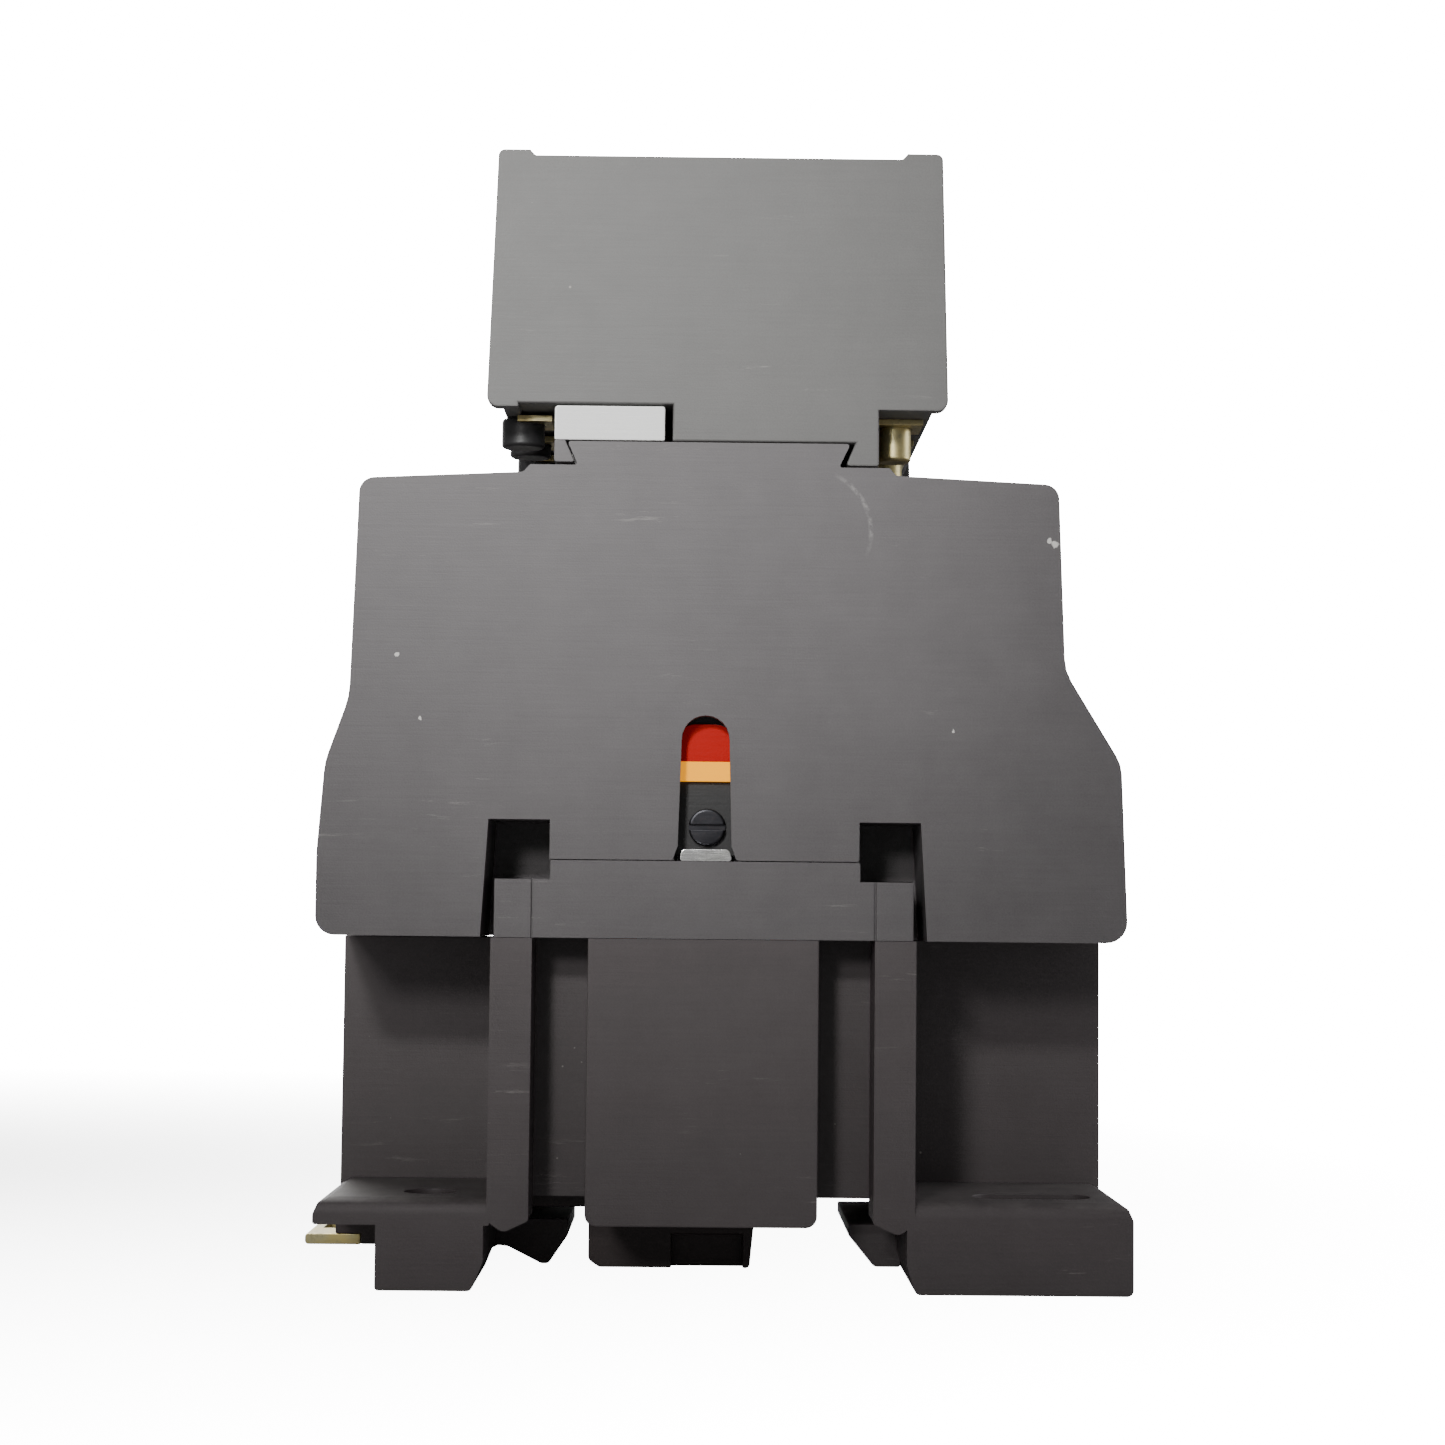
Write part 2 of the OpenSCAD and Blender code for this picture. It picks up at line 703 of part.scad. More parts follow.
module block_body() {
  color(plastic) {
    difference() {
      union() {
        along_y(-half_w + gap, half_w - gap) polygon(block_outline);
        along_y(-half_w + gap, half_w - gap)
          polygon(rounded([
            [-16, front_z + 0.12, 0], [-16, 93, 0], [17.9, 93, 0], [17.9, 86.0, 0.3],
            [14.4, 86.0, 0.3], [15.4, front_z + 0.12, 0]
          ]));
      }
      // channel for the slider, open at the bottom
      box(-6.6, 8.5, -inner_half, inner_half, 92.5, slider_top + 0.7);
      box(-5.4, 7.3, -8, 8, 80, 95);
      block_cells();
      // slot for the latch in each side and the latch bars between them
      box(-20, -3.8, -30, 30, front_z - 0.1, 92.3);
      // the cover's seat
      box(-13.2, 15.1, -inner_half, inner_half, slider_top + 0.5, 130);
      // the ends are set back above the terminals, behind the side walls
      box(-30, -21.8, -half_w + 2, half_w - 2, 90, 97);
      box(23.7, 30, -half_w + 2, half_w - 2, 90, 97);
    }
    // ribs that the latch springs push from
    box_pair(-11.6, -10.7, 8.4, 22.6, front_z + 0.3, 92.5);
  }
}

module block_cover() {
  color(plastic)
    difference() {
      box(-13.1, 15, -inner_half + 0.1, inner_half - 0.1, slider_top + 0.6, block_top - 0.3);
      box(-3.4, 5.3, -5.4, 5.4, 110, 125);
      box_pair(-8, 9.9, 8, 24, block_top - 1, 125);
    }
}

module block_latch() {
  color("#d8d8d6") {
    for (s = [-1, 1])
      along_y(s > 0 ? 23.6 : -half_w + 0.1, s > 0 ? half_w - 0.1 : -23.6)
        polygon(rounded([
          [-16.2, front_z + 0.15, 0.2], [-16.2, 92.1, 0.4], [-4.6, 92.1, 0.3],
          [-4.6, front_z + 0.15, 0.2]
        ]));
    box(-14.5, -12.4, -24, 24, front_z + 0.4, 91.9);
    box(-6.5, -5.3, -24, 24, front_z + 0.4, 91.9);
  }
}

// Dark hooks under the latch's ends, which hold the dovetail
module block_hooks() {
  color(plastic)
    for (s = [-1, 1])
      along_y(s > 0 ? 23.6 : -half_w + 0.1, s > 0 ? half_w - 0.1 : -23.6)
        polygon(rounded([
          [-16.2, 86.1, 0.3], [-16.2, front_z + 0.15, 0], [-15.05, front_z + 0.15, 0],
          [-14, 86.1, 0.2]
        ]));
}

module block_latch_spring() {
  color(steel)
    for (y = [-1, 1] * pole_pitch)
      translate([-10.65, y, 90.3]) rotate([0, 90, 0]) spring(1.2, 0.25, 0, 4.1, 5);
}

// Slider that rides on the carrier's head
module block_slider() {
  color("#d9d4c4")
    difference() {
      union() {
        box(-4.8, 6.7, -inner_half + 0.6, inner_half - 0.6, 98.2, slider_top);
        box(-4.9, 5.3, -6.4, 6.4, 86.3, 98.4);
      }
      for (i = [0 : 3])
        box(-9, 9, poles[i] - 4.2, poles[i] + 4.2, makes(i) ? make_z - 0.05 : 99.25,
          makes(i) ? slider_top - 1.1 : break_z + 1);
      // T-shaped slot for the carrier's head
      box(-4.05, 4.05, -7, 7, 87.9, 89.8);
      box(-2.9, 2.9, -7, 7, 80, 89);
    }
}

module slider_button() {
  color(signal_red)
    box(-1.9, 3.8, -4, 4, slider_top + 0.05, block_top - 0.4);
}

// Poles 1 and 3 of the block make contact when the carrier moves in, and 2 and 4 break it
function makes(i) = i % 2 == 0;

module block_bridge(i, z) {
  translate([block_mid, poles[i], z]) {
    box(-8.6, 8.6, -2.2, 2.2, 0, 0.9);
    for (x = [-7.4, 7.4])
      translate([x, 0, makes(i) ? -block_tip : 0.85]) cylinder(d = 2.8, h = block_tip + 0.05);
  }
}

module block_make_bridges() {
  color(copper)
    for (i = [0, 2])
      block_bridge(i, make_z);
}

module block_break_bridges() {
  color(copper)
    for (i = [1, 3])
      block_bridge(i, break_z);
}

module block_bridge_springs() {
  color(steel)
    for (i = [0 : 3])
      translate([block_mid, poles[i], 0])
        if (makes(i)) spring(1.7, 0.3, make_z + 0.95, slider_top - 1.15, 3);
        else spring(1.7, 0.3, 99.3, break_z - 0.05, 2);
}

module block_strips(s) {
  color(zinc)
    for (i = [0 : 3])
      translate([block_mid, poles[i], block_strip_z])
        difference() {
          union() {
            box(s < 0 ? -21 : 6.2, s < 0 ? -6.2 : 21, -3, 3, 0, 1);
            translate([s * 7.4, 0, makes(i) ? 0.95 : -0.45]) cylinder(d = 2.8, h = 0.5);
          }
          translate([s * aux_x, 0, -1]) cylinder(d = 3.1, h = 4);
        }
}

module block_clamps(s) {
  color(zinc)
    for (y = poles)
      translate([block_mid + s * aux_x, y, 0])
        difference() {
          box(-2, 1.8, -3.1, 3.1, block_strip_z + 5, block_strip_z + 6);
          translate([0, 0, 100]) cylinder(d = 3.2, h = 12);
        }
}

module block_screws(s) {
  color(zinc)
    for (i = [0 : 3])
      translate([block_mid + s * aux_x, poles[i], 0])
        screw(3, 5.6, 2.2, block_strip_z + 6.05, 7, 15 + 38 * i - 25 * s);
}

// Shrouded lower ends of the left terminals
module block_left_barrels() {
  color("#3a3838")
    for (y = poles)
      translate([-19.95, y, y < poles[1] ? 88.7 : 89.8]) {
        cylinder(d1 = 3.4, d2 = 4.6, h = 0.6);
        translate([0, 0, 0.6]) cylinder(d = 4.6, h = y < poles[1] ? 2.55 : 1.45);
      }
}

// Bare lower ends of the right terminals
module block_right_barrels() {
  color(brass)
    for (y = poles)
      translate([19.95, y, 87.6]) {
        cylinder(d1 = 2.9, d2 = 3.7, h = 0.4);
        translate([0, 0, 0.4]) cylinder(d = 3.7, h = 3.85);
      }
}

// Square plates round the barrels, under the block
module barrel_plates() {
  color(zinc)
    for (y = poles)
      difference() {
        union() {
          box(-20.4, -16.7, y - 3, y + 3, 91.2, 91.85);
          box(18.1, 22.9, y - 3, y + 3, 91.2, 91.85);
        }
        translate([-19.95, y, 90]) cylinder(d = 4.8, h = 3);
        translate([19.95, y, 90]) cylinder(d = 3.9, h = 3);
      }
}

// Two blank plates let into the block's cover
module label_plate() {
  color("#cfcfc8")
    box_pair(-7.9, 9.8, 8.1, 23.9, block_top - 1, block_top - 0.65);
}

base();
keel();
rail_latch();
latch_tab();
latch_spring();
coil_frame();
stop_clips();
core_pad();
fixed_core();
shading_rings();
coil_bobbin();
coil_winding();
coil_terminals();
coil_screws();
return_springs();
armature();
armature_pin();
pin_screws();
contact_carrier();
signal_arms();
signal_bands();
carrier_head();
bridge(0);  // bridge_1
bridge(1);  // bridge_2
bridge(2);  // bridge_3
bridge(3);  // bridge_4
moving_tips();
contact_springs();
housing();
arc_plates();
housing_screws();
strips(-1);  // line_strips
strips(1);  // load_strips
fixed_tips();
clamps(-1);  // line_clamps
clamps(1);  // load_clamps
power_screws(-1);  // line_screws
power_screws(1);  // load_screws
block_body();
block_cover();
block_latch();
block_hooks();
block_latch_spring();
block_slider();
slider_button();
block_make_bridges();
block_break_bridges();
block_bridge_springs();
block_strips(-1);  // block_left_strips
block_strips(1);  // block_right_strips
block_clamps(-1);  // block_left_clamps
block_clamps(1);  // block_right_clamps
block_screws(-1);  // block_left_screws
block_screws(1);  // block_right_screws
block_left_barrels();
block_right_barrels();
barrel_plates();
label_plate();
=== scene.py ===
import json
import math
import bmesh
import bpy
import numpy as np
from mathutils import Matrix, Vector

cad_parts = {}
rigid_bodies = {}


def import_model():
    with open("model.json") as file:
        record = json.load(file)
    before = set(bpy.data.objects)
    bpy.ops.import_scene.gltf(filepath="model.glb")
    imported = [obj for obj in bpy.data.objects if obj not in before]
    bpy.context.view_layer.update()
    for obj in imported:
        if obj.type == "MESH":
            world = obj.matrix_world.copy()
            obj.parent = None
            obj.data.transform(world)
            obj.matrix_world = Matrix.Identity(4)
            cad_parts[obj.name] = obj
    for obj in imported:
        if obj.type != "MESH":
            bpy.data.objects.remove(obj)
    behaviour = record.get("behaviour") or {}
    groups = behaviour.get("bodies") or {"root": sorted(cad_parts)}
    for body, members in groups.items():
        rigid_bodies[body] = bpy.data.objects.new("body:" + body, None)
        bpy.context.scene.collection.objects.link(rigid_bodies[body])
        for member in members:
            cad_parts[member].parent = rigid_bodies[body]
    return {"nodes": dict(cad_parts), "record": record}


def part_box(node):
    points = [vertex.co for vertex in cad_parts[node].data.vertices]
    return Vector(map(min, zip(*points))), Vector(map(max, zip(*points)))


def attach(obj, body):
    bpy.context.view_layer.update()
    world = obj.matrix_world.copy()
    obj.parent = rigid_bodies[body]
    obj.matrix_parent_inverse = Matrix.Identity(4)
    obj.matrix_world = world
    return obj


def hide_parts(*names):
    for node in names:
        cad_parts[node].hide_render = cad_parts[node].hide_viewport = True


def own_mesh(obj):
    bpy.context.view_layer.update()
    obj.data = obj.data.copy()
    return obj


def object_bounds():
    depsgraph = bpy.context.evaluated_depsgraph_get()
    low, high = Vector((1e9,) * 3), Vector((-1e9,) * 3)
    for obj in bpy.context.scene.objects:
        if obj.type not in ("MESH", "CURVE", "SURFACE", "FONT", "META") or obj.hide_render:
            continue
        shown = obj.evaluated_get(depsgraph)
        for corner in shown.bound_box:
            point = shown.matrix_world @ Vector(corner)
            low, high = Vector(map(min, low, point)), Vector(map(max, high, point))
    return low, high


for leftover in list(bpy.data.objects):
    bpy.data.objects.remove(leftover)
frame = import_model()
cadBox = [list(corner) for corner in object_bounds()]
nodes = frame["nodes"]
low, high = Vector(cadBox[0]), Vector(cadBox[1])
mm = 0.001
print("stage: frame loaded,", len(nodes), "nodes")

# camera, floor and light
cameraSet = {
    "place": (-0.00073, -0.3192, 0.03987),  # square on to the side wall, a little below mid height
    "pitchUp": 3.734, "yaw": -0.485, "roll": 0.57, "lens": 69.76, "sensor": 36,
    "nearest": 0.01, "furthest": 50,
}


def placeCamera(s):
    data = bpy.data.cameras.new("sideCamera")
    data.lens, data.sensor_width = s["lens"], s["sensor"]
    data.clip_start, data.clip_end = s["nearest"], s["furthest"]
    cam = bpy.data.objects.new("sideCamera", data)
    bpy.context.scene.collection.objects.link(cam)
    turn = (Matrix.Rotation(math.radians(s["yaw"]), 4, "Z")
            @ Matrix.Rotation(math.radians(90 + s["pitchUp"]), 4, "X")
            @ Matrix.Rotation(math.radians(s["roll"]), 4, "Z"))
    cam.matrix_world = Matrix.Translation(s["place"]) @ turn
    bpy.context.scene.camera = cam


def addLamp(name, place, target, size, watts, colour, cone=None):
    # a soft round panel, or with a cone in degrees a spot that fades out towards its rim
    data = bpy.data.lights.new(name, "SPOT" if cone else "AREA")
    data.energy, data.color = watts, colour
    if cone:
        data.spot_size, data.spot_blend, data.shadow_soft_size = math.radians(cone), 1.0, size / 2
    else:
        data.shape, data.size = "DISK", size
    lamp = bpy.data.objects.new(name, data)
    bpy.context.scene.collection.objects.link(lamp)
    lamp.location = place
    lamp.visible_camera = False
    lamp.rotation_euler = (Vector(target) - Vector(place)).to_track_quat("-Z", "Y").to_euler()


studio = {
    "floorHalf": 8.0, "floorColour": (0.55, 0.55, 0.55), "floorRoughness": 0.85,
    # the grey on the floor round the object is a painted shadow, centred behind and left of it
    "hazePlace": (-0.14, 0.10, 0.0), "hazeReach": 0.32, "hazeCurve": 1.6, "floorNear": 3.6, "floorFar": 22.0,
    "skyLight": 0.24, "skySeen": 24.0,
    "lamps": {
        "front": {"place": (-0.12, -0.43, 0.16), "size": 0.06, "watts": 0.40, "colour": (1.0, 0.975, 0.965)},
        "upper": {"place": (-0.10, -0.40, 0.25), "target": (-0.016, -0.028, 0.115), "cone": 25, "size": 0.06,
                  "watts": 9.0, "colour": (0.99, 1.0, 0.98)},
        "top": {"place": (-0.05, 0.12, 0.75), "size": 0.5, "watts": 1.2, "colour": (1.0, 1.0, 1.0)},
        "back": {"place": (-0.3, 0.7, 0.4), "size": 0.6, "watts": 4.0, "colour": (1.0, 0.99, 0.97)},
        "right": {"place": (0.7, 0.1, 0.3), "size": 0.5, "watts": 2.0, "colour": (0.97, 0.98, 1.0)},
    },
}


def cameraSees(tree, unseen, seen):
    # one strength for light on the object, another for what the lens sees directly
    path = tree.nodes.new("ShaderNodeLightPath")
    mix = tree.nodes.new("ShaderNodeMapRange")
    mix.inputs["To Min"].default_value = unseen
    mix.inputs["To Max"].default_value = seen
    tree.links.new(path.outputs["Is Camera Ray"], mix.inputs["Value"])
    return mix.outputs["Result"]


def floorGlowWithShadow(tree, s):
    # the floor as the lens sees it: a painted shadow, faintly grey round the object, white further off
    at = tree.nodes.new("ShaderNodeTexCoord").outputs["Object"]
    away = addNode(tree, "ShaderNodeVectorMath", {0: at, 1: s["hazePlace"]}, operation="DISTANCE")
    white = remap(tree, away.outputs["Value"], 0.0, s["hazeReach"])
    white = combine(tree, "POWER", white, s["hazeCurve"])
    path = tree.nodes.new("ShaderNodeLightPath")
    lift = remap(tree, white, 0.0, 1.0, s["floorNear"], s["floorFar"])
    return combine(tree, "MULTIPLY", lift, path.outputs["Is Camera Ray"])


def buildStudio(s):
    half, z = s["floorHalf"], low.z
    mesh = bpy.data.meshes.new("floor")
    mesh.from_pydata([(-half, -half, z), (half, -half, z), (half, half, z), (-half, half, z)],
                     [], [(0, 1, 2, 3)])
    floor = bpy.data.objects.new("floor", mesh)
    bpy.context.scene.collection.objects.link(floor)
    paint = bpy.data.materials.new("paleFloor")
    paint.use_nodes = True
    bsdf = paint.node_tree.nodes["Principled BSDF"]
    bsdf.inputs["Base Color"].default_value = (*s["floorColour"], 1)
    bsdf.inputs["Roughness"].default_value = s["floorRoughness"]
    bsdf.inputs["Emission Color"].default_value = (1, 1, 1, 1)
    paint.node_tree.links.new(floorGlowWithShadow(paint.node_tree, s), bsdf.inputs["Emission Strength"])
    mesh.materials.append(paint)

    world = bpy.data.worlds.new("paleRoom")
    bpy.context.scene.world = world
    world.use_nodes = True
    background = world.node_tree.nodes["Background"]
    background.inputs["Color"].default_value = (1, 1, 1, 1)
    world.node_tree.links.new(cameraSees(world.node_tree, s["skyLight"], s["skySeen"]),
                              background.inputs["Strength"])
    for name, lamp in s["lamps"].items():
        addLamp(name + "Light", **{"target": (low + high) / 2, **lamp})


# shader building blocks

def addNode(tree, kind, inputs=None, **settings):
    node = tree.nodes.new(kind)
    for key, value in settings.items():
        setattr(node, key, value)
    for label, value in (inputs or {}).items():
        if isinstance(value, bpy.types.NodeSocket):
            tree.links.new(value, node.inputs[label])
        else:
            node.inputs[label].default_value = value
    return node


def combine(tree, operation, a, b, clamp=False):
    return addNode(tree, "ShaderNodeMath", {0: a, 1: b}, operation=operation, use_clamp=clamp).outputs[0]


def noise(tree, vector, scale, detail=3.0, roughness=0.55):
    node = addNode(tree, "ShaderNodeTexNoise",
                   {"Vector": vector, "Scale": scale, "Detail": detail, "Roughness": roughness})
    return node.outputs["Fac"]


def remap(tree, value, fromLow, fromHigh, toLow=0.0, toHigh=1.0):
    node = addNode(tree, "ShaderNodeMapRange", {
        "Value": value, "From Min": fromLow, "From Max": fromHigh, "To Min": toLow, "To Max": toHigh})
    return node.outputs["Result"]


def stretch(tree, vector, scale):
    return addNode(tree, "ShaderNodeMapping", {"Vector": vector, "Scale": scale}).outputs["Vector"]


def blendColour(tree, factor, a, b, how="MIX"):
    node = addNode(tree, "ShaderNodeMix", {0: factor, 6: a, 7: b}, data_type="RGBA", blend_type=how)
    return node.outputs[2]


def startGroup(name, inputs, outputs):
    kinds = {"vector": "NodeSocketVector", "colour": "NodeSocketColor", "value": "NodeSocketFloat"}
    tree = bpy.data.node_groups.new(name, "ShaderNodeTree")
    for label, kind, value in inputs:
        socket = tree.interface.new_socket(label, in_out="INPUT", socket_type=kinds[kind])
        socket.default_value = value
    for label, kind in outputs:
        tree.interface.new_socket(label, in_out="OUTPUT", socket_type=kinds[kind])
    return tree, tree.nodes.new("NodeGroupInput").outputs, tree.nodes.new("NodeGroupOutput").inputs


def makeMouldedSkin():
    # the skin of a pressed moulding: cloudy patches, fine level streaks and a fine grain
    tree, given, out = startGroup(
        "mouldedSkin",
        [("Millimetres", "vector", (0, 0, 0)), ("Colour", "colour", (0.1, 0.1, 0.1, 1)),
         ("Pale", "colour", (0.2, 0.2, 0.2, 1)), ("Clouds", "value", 0.3), ("Streaks", "value", 0.3),
         ("Grain", "value", 0.3), ("Roughness", "value", 0.55)],
        [("Colour", "colour"), ("Roughness", "value"), ("Height", "value")])
    at = given["Millimetres"]
    cloud = remap(tree, noise(tree, at, 0.035, 4, 0.55), 0.3, 0.7, -0.5, 0.5)
    blotch = remap(tree, noise(tree, at, 0.22, 5, 0.65), 0.3, 0.7, -0.5, 0.5)
    level = stretch(tree, at, (0.10, 0.10, 3.4))  # long across, short up and down
    streak = remap(tree, noise(tree, level, 1.0, 4, 0.65), 0.3, 0.7, -0.5, 0.5)
    grain = remap(tree, noise(tree, at, 5.5, 2, 0.5), 0.25, 0.75, -0.5, 0.5)
    cloudy = combine(tree, "ADD", cloud, combine(tree, "MULTIPLY", blotch, 0.5))
    patches = combine(tree, "MULTIPLY", cloudy, given["Clouds"])
    lines = combine(tree, "MULTIPLY", streak, given["Streaks"])
    dots = combine(tree, "MULTIPLY", grain, given["Grain"])
    lift = combine(tree, "ADD", combine(tree, "ADD", patches, lines), combine(tree, "ADD", dots, 0.35),
                   clamp=True)
    tree.links.new(blendColour(tree, lift, given["Colour"], given["Pale"]), out["Colour"])
    uneven = combine(tree, "MULTIPLY", combine(tree, "ADD", cloud, grain), 0.08)
    tree.links.new(combine(tree, "ADD", given["Roughness"], uneven), out["Roughness"])
    height = combine(tree, "ADD", combine(tree, "MULTIPLY", grain, 0.5), combine(tree, "MULTIPLY", streak, 0.6))
    tree.links.new(height, out["Height"])
    return tree


def specks(tree, at, scale, reach, channel, share):
    # a dot in the middle of some of the cells: those whose random colour is above the share
    cells = addNode(tree, "ShaderNodeTexVoronoi", {"Vector": at, "Scale": scale, "Randomness": 1.0})
    near = remap(tree, cells.outputs["Distance"], *reach)
    tint = addNode(tree, "ShaderNodeSeparateColor", {0: cells.outputs["Color"]}).outputs[channel]
    return combine(tree, "MULTIPLY", near, remap(tree, tint, share, share + 0.01))


def makeShopWear():
    # what years in a cabinet leave: pale specks, thin scuffs, and dust on faces that look up
    tree, given, out = startGroup(
        "shopWear",
        [("Millimetres", "vector", (0, 0, 0)), ("Colour", "colour", (0.1, 0.1, 0.1, 1)),
         ("Dust Colour", "colour", (0.5, 0.48, 0.45, 1)), ("Specks", "value", 0.6), ("Scuffs", "value", 0.3),
         ("Dust", "value", 0.3), ("Roughness", "value", 0.5)],
        [("Colour", "colour"), ("Roughness", "value")])
    at = given["Millimetres"]
    large = specks(tree, at, 0.16, (0.028, 0.012), 0, 0.62)
    small = combine(tree, "MULTIPLY", specks(tree, at, 0.6, (0.075, 0.03), 1, 0.86), 0.45)
    speck = combine(tree, "MULTIPLY", combine(tree, "MAXIMUM", large, small), given["Specks"])
    bent = addNode(tree, "ShaderNodeVectorMath", {
        0: at, 1: addNode(tree, "ShaderNodeTexNoise", {"Vector": at, "Scale": 0.05}).outputs["Color"]},
        operation="ADD").outputs[0]
    hair = noise(tree, stretch(tree, bent, (0.08, 0.08, 0.9)), 1.0, 6, 0.8)
    zone = remap(tree, noise(tree, at, 0.07, 2, 0.5), 0.52, 0.68)
    scuff = combine(tree, "MULTIPLY", remap(tree, hair, 0.6, 0.68), zone)
    scuff = combine(tree, "MULTIPLY", scuff, given["Scuffs"])
    up = addNode(tree, "ShaderNodeSeparateXYZ", {0: addNode(tree, "ShaderNodeNewGeometry").outputs["Normal"]})
    film = combine(tree, "MULTIPLY", remap(tree, up.outputs["Z"], 0.35, 0.95),
                   remap(tree, noise(tree, at, 0.3, 5, 0.7), 0.3, 0.72))
    film = combine(tree, "MULTIPLY", film, given["Dust"])
    mask = combine(tree, "MAXIMUM", combine(tree, "MAXIMUM", speck, scuff), film, clamp=True)
    tree.links.new(blendColour(tree, mask, given["Colour"], given["Dust Colour"]), out["Colour"])
    duller = combine(tree, "MULTIPLY", mask, 0.3)
    tree.links.new(combine(tree, "ADD", given["Roughness"], duller, clamp=True), out["Roughness"])
    return tree


def makePlatedMetal():
    # rolled or plated metal: colour that drifts, fine rolling lines and dull spots
    tree, given, out = startGroup(
        "platedMetal",
        [("Millimetres", "vector", (0, 0, 0)), ("Colour", "colour", (0.6, 0.6, 0.6, 1)),
         ("Drift", "colour", (0.5, 0.4, 0.4, 1)), ("Tarnish", "colour", (0.15, 0.12, 0.1, 1)),
         ("Stain", "value", 0.3), ("Roughness", "value", 0.35)],
        [("Colour", "colour"), ("Roughness", "value"), ("Height", "value")])
    at = given["Millimetres"]
    drift = remap(tree, noise(tree, at, 0.4, 3, 0.5), 0.35, 0.65)
    rolled = noise(tree, stretch(tree, at, (0.5, 9.0, 9.0)), 1.0, 3, 0.6)
    spots = remap(tree, noise(tree, at, 1.6, 6, 0.72), 0.52, 0.75)
    stain = combine(tree, "MULTIPLY", spots, given["Stain"])
    colour = blendColour(tree, drift, given["Colour"], given["Drift"])
    tree.links.new(blendColour(tree, stain, colour, given["Tarnish"]), out["Colour"])
    rough = combine(tree, "ADD", given["Roughness"], combine(tree, "MULTIPLY", stain, 0.35))
    tree.links.new(combine(tree, "ADD", rough, remap(tree, rolled, 0.3, 0.7, -0.06, 0.06)), out["Roughness"])
    height = combine(tree, "ADD", combine(tree, "MULTIPLY", rolled, 0.6), combine(tree, "MULTIPLY", spots, 0.4))
    tree.links.new(height, out["Height"])
    return tree


def makeStackLines():
    # even lines across one direction, as between laminations or the turns of a coil
    tree, given, out = startGroup(
        "stackLines",
        [("Along", "value", 0.0), ("Pitch", "value", 0.5), ("Line", "value", 0.2)],
        [("Gap", "value"), ("Crown", "value")])
    turns = combine(tree, "DIVIDE", given["Along"], given["Pitch"])
    place = combine(tree, "ABSOLUTE", combine(tree, "SUBTRACT", combine(tree, "FRACT", turns, 0.0), 0.5), 0.0)
    edge = combine(tree, "SUBTRACT", 0.5, combine(tree, "MULTIPLY", given["Line"], 0.5))
    gap = addNode(tree, "ShaderNodeMapRange", {"Value": place, "From Min": edge, "From Max": 0.5})
    tree.links.new(gap.outputs["Result"], out["Gap"])
    square = combine(tree, "MULTIPLY", place, place)
    tree.links.new(combine(tree, "SUBTRACT", 1.0, combine(tree, "MULTIPLY", square, 4.0)), out["Crown"])
    return tree


placeCamera(cameraSet)
buildStudio(studio)
print("stage: camera and studio")

mouldedSkin, shopWear = makeMouldedSkin(), makeShopWear()
platedMetal, stackLines = makePlatedMetal(), makeStackLines()
print("stage: shader groups")

# finishes

def startFinish(name, roughness=0.5, **constants):
    finish = bpy.data.materials.new(name)
    finish.use_nodes = True
    tree = finish.node_tree
    bsdf = tree.nodes["Principled BSDF"]
    bsdf.inputs["Roughness"].default_value = roughness
    for label, value in constants.items():
        bsdf.inputs[label].default_value = value
    at = tree.nodes.new("ShaderNodeTexCoord").outputs["Object"]
    return finish, tree, bsdf, stretch(tree, at, (1 / mm, 1 / mm, 1 / mm))


def placeGroup(tree, group, inputs):
    node = tree.nodes.new("ShaderNodeGroup")
    node.node_tree = group
    for label, value in inputs.items():
        if isinstance(value, bpy.types.NodeSocket):
            tree.links.new(value, node.inputs[label])
        else:
            node.inputs[label].default_value = value
    return node.outputs


def markMask(tree, at, s):
    # the few marks that this casing carries: round chips, and one thin curved scratch
    masks = []
    for place, radius in s["chips"]:
        away = addNode(tree, "ShaderNodeVectorMath", {0: at, 1: place}, operation="DISTANCE").outputs["Value"]
        ragged = combine(tree, "ADD", away, remap(tree, noise(tree, at, 2.2, 3, 0.6), 0.3, 0.7, -0.12, 0.12))
        masks.append(remap(tree, ragged, radius, radius * 0.75))
    centre, radius, reach, strength = s["scratch"]
    away = addNode(tree, "ShaderNodeVectorMath", {0: at, 1: centre}, operation="DISTANCE").outputs["Value"]
    off = combine(tree, "ABSOLUTE", combine(tree, "SUBTRACT", away, radius), 0.0)
    along = addNode(tree, "ShaderNodeVectorMath", {0: at, 1: reach[0]}, operation="DISTANCE").outputs["Value"]
    line = combine(tree, "MULTIPLY", remap(tree, off, 0.32, 0.08), remap(tree, along, reach[1], reach[1] * 0.5))
    broken = remap(tree, noise(tree, at, 1.3, 4, 0.7), 0.4, 0.6)
    masks.append(combine(tree, "MULTIPLY", combine(tree, "MULTIPLY", line, broken), strength))
    total = masks[0]
    for mask in masks[1:]:
        total = combine(tree, "MAXIMUM", total, mask)
    return total


def bumped(tree, bsdf, height, depth, strength):
    bump = addNode(tree, "ShaderNodeBump", {"Height": height, "Distance": depth, "Strength": strength})
    tree.links.new(bump.outputs["Normal"], bsdf.inputs["Normal"])


